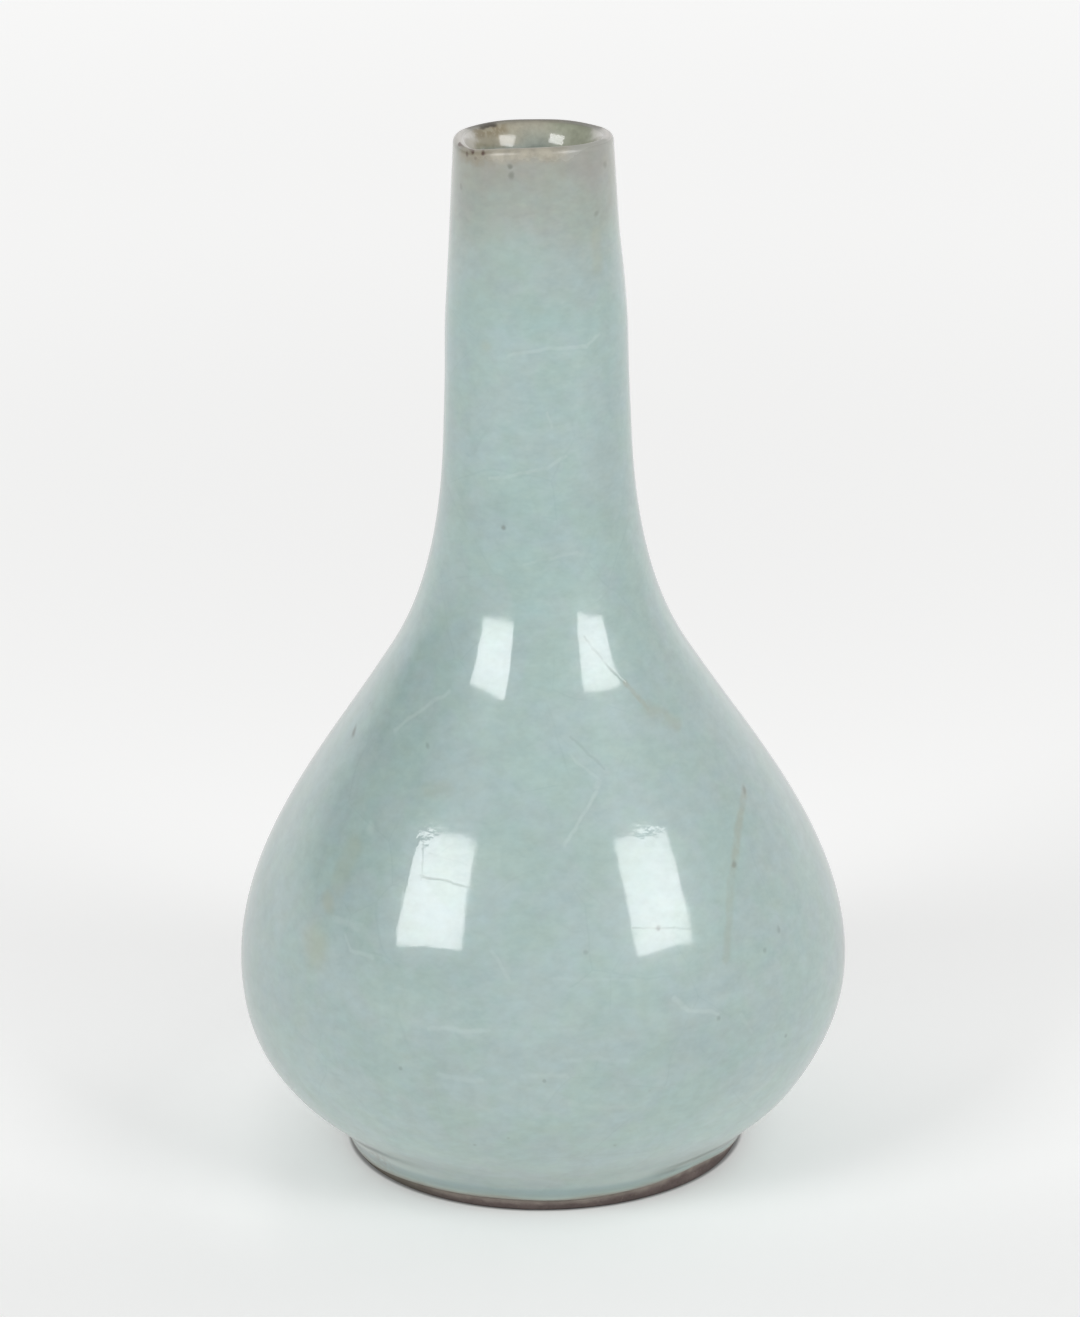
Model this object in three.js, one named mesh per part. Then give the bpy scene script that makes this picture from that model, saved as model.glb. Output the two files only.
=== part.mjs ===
// Celadon bottle vase, in millimetres, +Z up. The origin is the centre of the foot, on the surface it stands on.
// The stoneware body is thrown in sections that are luted together with slip, then glazed inside and out.
// Every piece is a solid of revolution about Z, drawn as a closed profile of radius and height.
import * as THREE from "three";

// Heights of the clay outline, each measured up from the end of the one before it
const footRingHeight = 6.7;
const slipThickness = 0.6;
const bowlRise = 36.1; // from the bowl's underside to the widest ring
const shoulderRise = 66.6; // from the widest ring to where the shoulder slopes least steeply
const flareRise = 54.0; // from there to the root of the straight neck
const neckLength = 64.6; // from the root to the centre of the rounded lip

// Radii and slopes of the clay outline
const footRadius = 44.7;
const footFlare = 0.2; // how much wider the foot ring is where it meets the bowl
const bowlAngle = 34; // degrees above level where the bowl leaves the foot
const widestRadius = 67.1;
const shoulderRadius = 35.4;
const shoulderAngle = 33.2; // degrees away from upright where the shoulder turns into the flare
const neckRadius = 19.5;
const lipRadius = 15.75; // to the middle of the lip's wall

// How far each curve holds the direction that it starts or ends with
const bowlStartHold = 6;
const bowlEndHold = 23;
const shoulderStartHold = 24.5;
const shoulderEndHold = 23.5;
const flareStartHold = 9;
const flareEndHold = 35;

// Walls of the clay
const wallAtFoot = 6.0;
const wallAtGirth = 4.6;
const wallAtShoulder = 4.2;
const wallAtNeck = 3.9;
const wallAtLip = 1.9;
const mouthRounding = 9.5; // radius of the curve inside the mouth that thins the neck's wall to the lip
const floorThickness = 5.2;
const floorCornerHold = 6; // the length of the turn from the wall into the floor
const floorFlatRadius = 26;

// Heights of the slip joints above the widest ring
const girthJointDrop = 0.4; // the girth joint starts this far below the widest ring
const neckJointRise = 84.6;

// Foot ring
const footRingWidth = 5.6;
const footBevel = 0.6;
const recessDraft = 0.5; // how much the recess narrows towards its roof

// Glaze
const outerGlaze = 0.8;
const lipGlaze = 0.45;
const innerGlaze = 0.5;
const baseGlaze = 0.5;
const glazeThinning = 26; // the height under the lip over which the outer glaze drains thin
const bareBand = 3.1; // bare clay below the edge of the outer glaze
const glazeRoll = 0.5; // radius of the rounded edge where the outer glaze ends
const poolStart = 0.3; // share of the glazed foot wall below the pooled glaze in the corner
const mouthGlazeOutside = 1.6; // how far the thin brown coat of the mouth comes down outside
const mouthGlazeInside = 3.6; // and inside
const baseGlazeClimb = 1.8; // how far the base glaze climbs down the ring's inner wall
const basePoolRadius = 1.6;
const bondGap = 0.05; // the skin of air between a glaze and the clay it is fused to

// Steps of each profile and segments round the axis
const bowlSteps = 6;
const shoulderSteps = 5;
const flareSteps = 5;
const neckSteps = 1;
const floorSteps = 5;
const poolSteps = 3;
const cornerSteps = 3;
const lipQuarterSteps = 3;
const mouthSteps = 3;
const innerLipSteps = 2;
const firstInnerStation = 2; // the inner wall turns into the floor at this station of the bowl
const segments = 48;

const footTopRadius = footRadius + footFlare;
const recessRadius = footRadius - footRingWidth;
const recessRoofRadius = recessRadius - recessDraft;
const undersideZ = footRingHeight + slipThickness;
const widestZ = undersideZ + bowlRise;
const shoulderZ = widestZ + shoulderRise;
const neckRootZ = shoulderZ + flareRise;
const lipZ = neckRootZ + neckLength;
const girthJointZ = widestZ - girthJointDrop;
const neckJointZ = widestZ + neckJointRise;
const floorZ = undersideZ + floorThickness;
const lipHalfWall = wallAtLip / 2;

const point = (r, z) => new THREE.Vector2(r, z);
const along = (start, direction, length) => start.clone().addScaledVector(direction, length);
const steered = (degrees) => {
  const angle = THREE.MathUtils.degToRad(degrees);
  return point(Math.cos(angle), Math.sin(angle));
};

// The clay's outer outline: four stretches from the underside of the bowl to the lip
const up = point(0, 1);
const bowlBase = point(footTopRadius, undersideZ);
const widest = point(widestRadius, widestZ);
const shoulder = point(shoulderRadius, shoulderZ);
const neckRoot = point(neckRadius, neckRootZ);
const lipStart = point(lipRadius + lipHalfWall, lipZ);
const bowlDirection = steered(bowlAngle);
const shoulderDirection = steered(90 + shoulderAngle);
const neckDirection = lipStart.clone().sub(neckRoot).normalize();
const thinningStart = along(lipStart, neckDirection, -glazeThinning / neckDirection.y);

const stretches = [
  {
    curve: new THREE.CubicBezierCurve(
      bowlBase,
      along(bowlBase, bowlDirection, bowlStartHold),
      along(widest, up, -bowlEndHold),
      widest,
    ),
    steps: bowlSteps,
    wall: [wallAtFoot, wallAtGirth],
    glaze: [outerGlaze, outerGlaze],
  },
  {
    curve: new THREE.CubicBezierCurve(
      widest,
      along(widest, up, shoulderStartHold),
      along(shoulder, shoulderDirection, -shoulderEndHold),
      shoulder,
    ),
    steps: shoulderSteps,
    wall: [wallAtGirth, wallAtShoulder],
    glaze: [outerGlaze, outerGlaze],
  },
  {
    curve: new THREE.CubicBezierCurve(
      shoulder,
      along(shoulder, shoulderDirection, flareStartHold),
      along(neckRoot, neckDirection, -flareEndHold),
      neckRoot,
    ),
    steps: flareSteps,
    wall: [wallAtShoulder, wallAtNeck],
    glaze: [outerGlaze, outerGlaze],
  },
  {
    curve: new THREE.LineCurve(neckRoot, thinningStart),
    steps: neckSteps,
    wall: [wallAtNeck, wallAtNeck],
    glaze: [outerGlaze, outerGlaze],
  },
  {
    curve: new THREE.LineCurve(thinningStart, lipStart),
    steps: neckSteps,
    wall: [wallAtNeck, wallAtNeck],
    glaze: [outerGlaze, lipGlaze],
  },
];

// Stations along the outline: a point on the clay, the way up, the way into the wall, and the thicknesses there
function stationAt(stretch, share) {
  const tangent = stretch.curve.getTangent(share);
  return {
    place: stretch.curve.getPoint(share),
    tangent,
    inward: point(-tangent.y, tangent.x),
    wall: THREE.MathUtils.lerp(stretch.wall[0], stretch.wall[1], share),
    glaze: THREE.MathUtils.lerp(stretch.glaze[0], stretch.glaze[1], share),
  };
}

const stations = [stationAt(stretches[0], 0)];
for (const stretch of stretches) {
  for (let step = 1; step <= stretch.steps; step++) stations.push(stationAt(stretch, step / stretch.steps));
}
const stationsBelowLip = stations.slice(0, -1);

// Points on a circle from one direction to another, in radians
function arc(centre, radius, first, last, steps) {
  const points = [];
  for (let step = 0; step <= steps; step++) {
    const turn = THREE.MathUtils.lerp(first, last, step / steps);
    points.push(along(centre, point(Math.cos(turn), Math.sin(turn)), radius));
  }
  return points;
}

// The outer quarter of the rounded lip at a distance from the clay, up to its crest
const lipCentre = point(lipRadius, lipZ);
const lipOutside = (distance) => arc(lipCentre, lipHalfWall + distance, 0, Math.PI / 2, lipQuarterSteps);

// The inner side of the mouth at a distance from the clay. Its rounding touches both the inner line of the
// neck's wall and the round of the lip.
function mouthInside(distance) {
  const inward = point(-neckDirection.y, neckDirection.x);
  const lipDepth = point(-lipHalfWall, 0).dot(inward);
  const sideways = mouthRounding - wallAtNeck + lipDepth;
  const reach = mouthRounding - lipHalfWall;
  const drop = Math.sqrt(reach ** 2 - sideways ** 2);
  const centre = along(along(lipCentre, inward, -sideways), neckDirection, -drop);
  const wallTurn = inward.angle();
  const lipTurn = wallTurn - Math.acos(sideways / reach);
  return [
    ...arc(centre, mouthRounding + distance, wallTurn, lipTurn, mouthSteps),
    ...arc(lipCentre, lipHalfWall + distance, lipTurn, Math.PI / 2, innerLipSteps).slice(1),
  ];
}

// A surface outside the clay, from the bowl's underside up to the crest of the lip
function outsideSurface(thicknessAt, lipThickness) {
  return [
    ...stationsBelowLip.map((s) => along(s.place, s.inward, -thicknessAt(s))),
    ...lipOutside(lipThickness),
  ];
}

// A surface inside the clay, from the middle of the floor up to the crest of the lip
function insideSurface(thickness, lipThickness) {
  const wallStations = stationsBelowLip.slice(firstInnerStation);
  const wall = wallStations.map((s) => along(s.place, s.inward, s.wall + thickness));
  const floorLevel = floorZ + thickness;
  const floor = new THREE.CubicBezierCurve(
    point(0, floorLevel),
    point(floorFlatRadius, floorLevel),
    along(wall[0], wallStations[0].tangent, -floorCornerHold),
    wall[0],
  );
  return [...floor.getPoints(floorSteps), ...wall.slice(1), ...mouthInside(lipThickness)];
}

// The part of a rising profile between two heights, with new points where it crosses them
function between(points, low, high) {
  const kept = [];
  points.forEach((end, index) => {
    const start = points[index - 1];
    for (const level of [low, high]) {
      if (start && start.y < level && level < end.y) {
        kept.push(start.clone().lerp(end, (level - start.y) / (end.y - start.y)).setY(level));
      }
    }
    if (end.y >= low && end.y <= high) kept.push(end);
  });
  return kept;
}

// A solid of revolution about Z from a closed profile that runs up its outer side and down its inner side
function revolved(name, profile, material) {
  const distinct = profile.filter((p, index) => index === 0 || p.distanceTo(profile[index - 1]) > 1e-6);
  const closed = distinct[0].x === 0 ? distinct : [...distinct, distinct[0]];
  const geometry = new THREE.LatheGeometry(closed, segments);
  geometry.rotateX(Math.PI / 2);
  const mesh = new THREE.Mesh(geometry, material);
  mesh.name = name;
  return mesh;
}

const finish = (color, roughness) => new THREE.MeshStandardMaterial({ color, roughness, metalness: 0 });

const clayOutside = outsideSurface(() => 0, 0);
const clayInside = insideSurface(0, 0);
const bondOutside = outsideSurface(() => bondGap, bondGap);
const bondInside = insideSurface(bondGap, bondGap);
const glazeOutside = outsideSurface((s) => s.glaze, lipGlaze);
const glazeInside = insideSurface(innerGlaze, lipGlaze);
const crestZ = lipZ + lipHalfWall + lipGlaze;
const mouthEdgeOutsideZ = lipZ - mouthGlazeOutside;
const mouthEdgeInsideZ = lipZ - mouthGlazeInside;

// A band of the clay wall between two heights, with level faces top and bottom
function wallBand(name, low, high, material) {
  const outer = between(clayOutside, low, high);
  const inner = between(clayInside, low, high);
  return revolved(name, [...outer, ...inner.reverse()], material);
}

// The foot ring stands under the bowl, with bevelled edges where it meets the floor
function footRing() {
  const profile = [
    point(footRadius - footBevel, 0),
    point(footRadius, footBevel),
    point(footTopRadius, footRingHeight),
    point(recessRoofRadius, footRingHeight),
    point(recessRadius, footBevel),
    point(recessRadius + footBevel, 0),
  ];
  return revolved("foot_ring", profile, finish(0x5a4a42, 0.85));
}

// Slip between the flat top of the foot ring and the underside of the bowl
function footSlipJoint() {
  const profile = [
    point(footTopRadius, footRingHeight),
    point(footTopRadius, undersideZ),
    point(recessRoofRadius, undersideZ),
    point(recessRoofRadius, footRingHeight),
  ];
  return revolved("foot_slip_joint", profile, finish(0x8a7d72, 0.9));
}

// The thrown bowl: flat underside, floor, and the wall up to the girth joint
function lowerBody() {
  const outer = between(clayOutside, undersideZ, girthJointZ);
  const inner = between(clayInside, floorZ, girthJointZ);
  const profile = [point(0, undersideZ), ...outer, ...inner.reverse()];
  return revolved("lower_body", profile, finish(0x9a9086, 0.85));
}

// The neck ends in the rounded clay lip
function neck() {
  const outer = between(clayOutside, neckJointZ + slipThickness, crestZ);
  const inner = between(clayInside, neckJointZ + slipThickness, crestZ);
  return revolved("neck", [...outer, ...inner.reverse()], finish(0x9a9086, 0.85));
}

// The outer coat runs from its rolled edge on the foot, over the pooled corner, to the mouth coat
function outerGlazeCoat() {
  const wallRadiusAt = (z) =>
    footRadius + (footFlare * (z - footBevel)) / (footRingHeight - footBevel);
  const edgeRadius = wallRadiusAt(bareBand);
  const faceRadius = footTopRadius + outerGlaze;
  const rollCentre = point(faceRadius - glazeRoll, bareBand + glazeRoll);
  const roll = arc(rollCentre, glazeRoll, -Math.PI / 2, 0, cornerSteps);
  const bowlFace = along(bowlBase, stations[0].inward, -outerGlaze);
  const cornerZ = bowlFace.y + (faceRadius - bowlFace.x) * (bowlDirection.y / bowlDirection.x);
  const poolZ = THREE.MathUtils.lerp(rollCentre.y, cornerZ, poolStart);
  const bowlGlaze = between(glazeOutside, cornerZ, mouthEdgeOutsideZ);
  const firstBowlStation = glazeOutside[1];
  const pool = new THREE.QuadraticBezierCurve(
    point(faceRadius, poolZ),
    point(faceRadius, cornerZ),
    firstBowlStation,
  );
  const skin = bowlGlaze.filter((p) => p.y > firstBowlStation.y);
  const backing = [
    point(edgeRadius + bondGap, bareBand),
    point(footTopRadius + bondGap, footRingHeight),
    ...between(bondOutside, undersideZ, mouthEdgeOutsideZ),
  ];
  const profile = [...roll, ...pool.getPoints(poolSteps), ...skin, ...backing.reverse()];
  return revolved("outer_glaze", profile, finish(0xa6bcb8, 0.18));
}

// The thin brown coat over the lip, between the edges of the outer and inner coats
function mouthGlazeCoat() {
  const profile = [
    ...between(glazeOutside, mouthEdgeOutsideZ, crestZ),
    ...between(glazeInside, mouthEdgeInsideZ, crestZ).reverse(),
    ...between(bondInside, mouthEdgeInsideZ, crestZ),
    ...between(bondOutside, mouthEdgeOutsideZ, crestZ).reverse(),
  ];
  return revolved("mouth_glaze", profile, finish(0xa59c88, 0.3));
}

// The inner coat lines the floor, belly and neck up to the mouth coat
function innerGlazeCoat() {
  const backing = between(bondInside, floorZ, mouthEdgeInsideZ);
  const skin = between(glazeInside, floorZ, mouthEdgeInsideZ);
  return revolved("inner_glaze", [...backing, ...skin.reverse()], finish(0x98a898, 0.2));
}

// The base coat covers the roof of the recess and pools in its corner
function baseGlazeCoat() {
  const rimRadius = recessRoofRadius - bondGap;
  const faceZ = undersideZ - baseGlaze;
  const poolCentre = point(rimRadius - baseGlaze - basePoolRadius, faceZ - basePoolRadius);
  const profile = [
    point(0, faceZ),
    ...arc(poolCentre, basePoolRadius, Math.PI / 2, 0, cornerSteps),
    point(rimRadius, faceZ - baseGlazeClimb),
    point(rimRadius, undersideZ),
    point(0, undersideZ),
  ];
  return revolved("base_glaze", profile, finish(0x9fb2ac, 0.2));
}

const vase = new THREE.Group();
vase.add(
  footRing(),
  footSlipJoint(),
  lowerBody(),
  wallBand("girth_slip_joint", girthJointZ, girthJointZ + slipThickness, finish(0x8a7d72, 0.9)),
  wallBand("upper_body", girthJointZ + slipThickness, neckJointZ, finish(0x9a9086, 0.85)),
  wallBand("neck_slip_joint", neckJointZ, neckJointZ + slipThickness, finish(0x8a7d72, 0.9)),
  neck(),
  outerGlazeCoat(),
  mouthGlazeCoat(),
  innerGlazeCoat(),
  baseGlazeCoat(),
);

export default vase;
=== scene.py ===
"""Dresses the celadon bottle vase: a hand-thrown body under a thick crackled glaze, on a bare brown foot.

Shapes are worked out in millimetres and written to the meshes in metres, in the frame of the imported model.
Angles round the vase start at +X, on the right of the picture, and the camera stands at 270 degrees.
"""
import math

import bpy
import numpy as np
from mathutils import Matrix, Vector

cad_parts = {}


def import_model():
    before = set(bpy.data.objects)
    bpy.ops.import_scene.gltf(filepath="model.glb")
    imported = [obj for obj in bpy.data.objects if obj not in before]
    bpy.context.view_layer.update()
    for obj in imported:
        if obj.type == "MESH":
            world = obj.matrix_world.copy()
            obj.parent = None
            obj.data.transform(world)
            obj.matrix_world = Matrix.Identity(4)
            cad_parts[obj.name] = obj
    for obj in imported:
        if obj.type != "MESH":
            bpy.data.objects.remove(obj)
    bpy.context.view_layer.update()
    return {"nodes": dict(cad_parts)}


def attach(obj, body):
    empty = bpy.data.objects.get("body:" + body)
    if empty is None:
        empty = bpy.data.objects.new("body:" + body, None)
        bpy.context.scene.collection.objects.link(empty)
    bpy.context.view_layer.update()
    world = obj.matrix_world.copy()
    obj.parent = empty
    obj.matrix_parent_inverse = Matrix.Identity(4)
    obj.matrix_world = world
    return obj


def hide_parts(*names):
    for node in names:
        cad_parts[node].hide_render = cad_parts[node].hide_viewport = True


MM = 0.001

# Clay outline, as the construction has it
FOOT_RING_HEIGHT = 6.7
SLIP = 0.6
BOWL_RISE = 36.1
SHOULDER_RISE = 66.6
FLARE_RISE = 54.0
NECK_LENGTH = 64.6
FOOT_RADIUS = 44.7
FOOT_FLARE = 0.2
BOWL_ANGLE = 34.0
WIDEST_RADIUS = 67.1
SHOULDER_RADIUS = 35.4
SHOULDER_ANGLE = 33.2
NECK_RADIUS = 19.5
LIP_RADIUS = 15.75
BOWL_HOLDS = (6.0, 23.0)
SHOULDER_HOLDS = (24.5, 23.5)
FLARE_HOLDS = (9.0, 35.0)
WALL_FOOT = 6.0
WALL_GIRTH = 4.6
WALL_SHOULDER = 4.2
WALL_NECK = 3.9
WALL_LIP = 1.9
MOUTH_ROUNDING = 9.5
FLOOR = 5.2
FLOOR_CORNER_HOLD = 6.0
FLOOR_FLAT_RADIUS = 26.0
WALL_START_RISE = 5.5
WALL_END_DROP = 1.0
GIRTH_JOINT_DROP = 0.4
NECK_JOINT_RISE = 84.6
FOOT_RING_WIDTH = 5.6
FOOT_BEVEL = 0.6
RECESS_DRAFT = 0.5

# Glaze
OUTER_GLAZE = 0.8
LIP_GLAZE = 0.45
INNER_GLAZE = 0.5
BASE_GLAZE = 0.5
GLAZE_THINNING = 26.0
BARE_BAND = 3.1
GLAZE_ROLL = 0.5
POOL_START = 0.1
EDGE_FADES = 9.5
BASE_CLIMB = 1.8
BASE_POOL_RADIUS = 1.6
BOND_GAP = 0.05
CREST_SPREAD = 42
FAR_FROM_EDGE = 99.0

FOOT_TOP_RADIUS = FOOT_RADIUS + FOOT_FLARE
RECESS_RADIUS = FOOT_RADIUS - FOOT_RING_WIDTH
RECESS_ROOF_RADIUS = RECESS_RADIUS - RECESS_DRAFT
UNDERSIDE = FOOT_RING_HEIGHT + SLIP
FLOOR_LEVEL = UNDERSIDE + FLOOR
WIDEST = UNDERSIDE + BOWL_RISE
SHOULDER = WIDEST + SHOULDER_RISE
NECK_ROOT = SHOULDER + FLARE_RISE
LIP = NECK_ROOT + NECK_LENGTH
LIP_HALF = WALL_LIP / 2
CREST = LIP + LIP_HALF + LIP_GLAZE
GIRTH_JOINT = WIDEST - GIRTH_JOINT_DROP
NECK_JOINT = WIDEST + NECK_JOINT_RISE

# How finely the meshes are cut: points round the vase, steps along the bowl, shoulder, flare and neck, and
# the share of these steps that each surface takes
GLAZE_SEGMENTS = 240
CLAY_SEGMENTS = 128
CURVE_STEPS = (44, 56, 42, 44)
OUTSIDE_DENSITY = 0.9
INSIDE_DENSITY = 0.35
BOND_DENSITY = 0.25
FINE_LIP_POINTS = 8
COARSE_LIP_POINTS = 5
FINE_INSIDE = {"floor_points": 18, "mouth_points": 9, "lip_points": 6}
COARSE_INSIDE = {"floor_points": 8, "mouth_points": 5, "lip_points": 4}
POOL_END = 15
POOL_POINTS = 12

# How far from round the thrown wall is, between which heights, and where it swells, draws in and leans
BODY_UNEVEN = (9, 34)
NECK_UNEVEN = (135, 175)
LIP_UNEVEN = (217, 229)
FOOT_UNEVEN_END = (8, 16)
RIGHT_DRAWN_IN = 0.42
RIGHT_DRAWN_IN_FROM = (197, 212)
LEAN = -0.55
LEAN_AT = (24, 11)
TRUE_MIDDLE = 8

# Waves round the vase: how many, their size in millimetres and where they start in radians
QUARTER = math.pi / 2
BODY_WAVES = [(2, 0.16, QUARTER + 0.6), (3, 0.08, QUARTER + 2.1)]
NECK_WAVES = [(2, 0.12, QUARTER - 0.9), (5, 0.05, QUARTER)]
LIP_WAVES = [(3, 0.07, 0.4), (7, 0.05, 0.0)]
GLAZE_EDGE_WAVES = [(2, 0.25, 1.1), (5, 0.14, 0.0), (11, 0.07, 2.0)]
BASE_EDGE_WAVES = [(3, 0.22, 0.5), (8, 0.12, 0.0)]

# Swells at one side of the vase: angle and spread in degrees, and size in millimetres
LIP_SWELLS = [(292, 20, 0.25), (213, 23, -1.2), (92, 45, 0.22)]
GLAZE_EDGE_SWELLS = [(210, 30, -1.55), (316, 13, 1.0), (354, 18, -1.0)]
FOOT_SWELLS = [(322, 20, 0.12), (188, 36, -0.5), (354, 30, -0.45)]

# Turning marks and wear of the foot ring
TURNING_DEPTH = 0.035
TURNING_PITCH = 0.9
RIM_WEAR = 0.05
RIM_CHIPS = 0.09

# Soft lumps in the thrown wall: angle and spread in degrees, then height, spread and size in millimetres
ALL_ROUND = 1e9
LUMPS = [
    (0, ALL_ROUND, 190, 9, 0.3),
    (270, 75, 137, 12, 0.33),
    (270, 75, 123, 11, 0.34),
    (270, 75, 106, 11, -0.07),
    (264, 12, 124, 16, 0.35),
    (243, 12, 124, 16, -0.25),
    (226, 14, 120, 16, -0.53),
    (300, 16, 118, 14, -0.23),
    (270, 30, 80, 26, 0.12),
    (106, 16, 222.5, 3.2, -0.41),
    (62, 16, 223, 5, -0.2),
    (336, 28, 12, 7, 0.8),
    (204, 28, 12, 7, 0.25),
]

# Marks of this one vase: reach in millimetres, strength, then points as angle and height. One point makes a
# dot, and more make a line.
CRACKS = [
    (0.35, 0.8, (290.5, 126), (297, 120.6), (304, 116)),
    (0.35, 1.0, (242, 80.9), (248.5, 80.5), (254.5, 79.6)),
    (0.3, 0.5, (241, 86.8), (242.5, 80.2)),
    (0.3, 0.2, (242.5, 85.3), (252.5, 84)),
    (0.3, 0.7, (288, 71.7), (300.5, 69.7)),
]
PALE_MARKS = [
    (0.6, 0.35, (234.5, 114.3), (225, 109.7), (217.5, 104.6)),
    (0.4, 0.25, (279, 104), (286.5, 99)),
    (0.6, 0.4, (285, 97.3), (275.5, 88)),
    (1.2, 0.4, (285.5, 98.4)),
    (0.6, 0.25, (260, 68), (263.5, 63)),
    (0.7, 0.34, (294.5, 56.6), (297.5, 53.5), (303.5, 51.2)),
    (0.6, 0.2, (308.5, 49.7), (311, 45)),
    (0.8, 0.3, (249, 51.2), (251.6, 51.9), (254.7, 51.6), (260, 51.9)),
    (0.9, 0.26, (250.5, 41.3), (254, 40.6), (258.7, 41)),
    (0.8, 0.2, (266, 42.2), (269.5, 42.7), (274, 42.3)),
    (0.9, 0.2, (273.5, 45.9), (279, 45.7), (285, 44.7)),
    (0.9, 0.18, (274.5, 35.5), (279, 34.2), (285, 33.6)),
    (0.5, 0.14, (272, 63), (287.5, 61.7)),
    (1.1, 0.36, (223.5, 68.7), (232, 68.5)),
    (0.6, 0.32, (227.5, 66.3), (230, 63.8), (235.5, 63.5)),
    (1.6, 0.34, (225, 86.8)),
    (0.6, 0.28, (252.5, 186.3), (278, 187.9), (302.5, 187.7), (314, 190)),
    (0.6, 0.26, (240, 159), (261.5, 160.8), (276.5, 162.3), (287, 164.5)),
    (0.5, 0.2, (276, 174), (279, 170.6)),
    (0.5, 0.16, (262, 141.3), (271, 142.4), (291.5, 143.6)),
]
DARK_MARKS = [
    (0.4, 0.12, (279.5, 107.5), (288.5, 101.3)),
    (1.7, 0.6, (197.5, 100.5)),
    (0.9, 0.5, (249.5, 149)),
    (0.8, 0.45, (293.7, 70.9)),
    (0.8, 0.28, (278.3, 68)),
    (0.8, 0.28, (303.5, 50.3)),
    (1.1, 0.32, (331.5, 89.8)),
    (1.1, 0.36, (316.4, 79)),
    (1.0, 0.28, (322.3, 63.4)),
    (1.0, 0.28, (317.2, 60.8)),
    (0.9, 0.25, (233, 103.8)),
    (1.0, 0.32, (316.5, 215.3)),
    (0.9, 0.3, (208.5, 220.7)),
    (1.1, 0.3, (330, 225.2)),
    (0.85, 0.72, (252.5, 226.4)),
    (1.1, 0.52, (253.3, 224.5)),
]
BROWN_MARKS = [
    (1.8, 0.34, (331, 89.6), (322, 84.4), (316.5, 79)),
    (1.6, 0.2, (316.5, 79), (313, 75), (307, 62)),
    (0.9, 0.36, (304, 116), (309.5, 110.6)),
    (2.0, 0.24, (309.5, 110.6), (314.5, 108), (319, 106)),
    (2.4, 0.16, (237.5, 96.2), (244, 97)),
]
OCHRE_MARKS = [
    (3.6, 0.2, (222, 83), (221.5, 75)),
    (3.4, 0.3, (220.5, 71.2)),
    (6.5, 0.34, (220.5, 62)),
    (2.4, 0.2, (315, 204), (315, 211)),
    (2.0, 0.16, (235.5, 188)),
]
RUST_MARKS = [
    (0.55, 0.8, (198, 228.9), (205, 228.9), (213, 229.1), (220.2, 228.7)),
    (0.85, 0.95, (220.2, 228.6)),
    (0.85, 0.9, (231.2, 228.7)),
    (0.7, 0.6, (214, 227.9)),
    (0.6, 0.55, (224.5, 227.3)),
]
MARK_SOFTNESS = 0.8
ROUGH_PLACES = [
    (5.5, 0.6, (241, 88)),
    (5.5, 0.6, (296, 88)),
    (4.0, 0.5, (237, 115)),
    (4.0, 0.5, (233.5, 103)),
]

# Camera, found from both outlines, the foot and the rim in the picture
CAMERA_BACK = 905.3 * MM
CAMERA_HEIGHT = 413.5 * MM
CAMERA_PITCH = 18.38
CAMERA_ROLL = 0.637
LENS = 118.1
SENSOR = 36.0


# Profiles


def cubic(start, start_hold, end_hold, end, shares):
    """Points and directions of a cubic curve in radius and height."""
    t = shares[:, None]
    a, b, c, d = map(np.array, (start, start_hold, end_hold, end))
    points = (1 - t) ** 3 * a + 3 * (1 - t) ** 2 * t * b + 3 * (1 - t) * t * t * c + t**3 * d
    runs = (1 - t) ** 2 * (b - a) + 2 * (1 - t) * t * (c - b) + t * t * (d - c)
    return points, runs / np.linalg.norm(runs, axis=1)[:, None]


def steered(degrees):
    return np.array([math.cos(math.radians(degrees)), math.sin(math.radians(degrees))])


def arc(centre, radius, first, last, count):
    """Points on a circle in radius and height, from one angle to another in degrees."""
    turns = np.radians(np.linspace(first, last, count))
    return np.array(centre) + radius * np.stack([np.cos(turns), np.sin(turns)], 1)


def smooth(values, low, high):
    """0 below low, 1 above high, and an even rise between."""
    share = np.clip((values - low) / (high - low), 0, 1)
    return share * share * (3 - 2 * share)


def hump(values, centre, width):
    """1 at centre, falling away over width on both sides."""
    return np.exp(-(((values - centre) / width) ** 2))


def around(angle, centre_degrees, width_degrees):
    """1 at one side of the vase, falling away over a width in degrees."""
    away = np.degrees(np.angle(np.exp(1j * (angle - math.radians(centre_degrees)))))
    return hump(away, 0, width_degrees)


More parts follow.
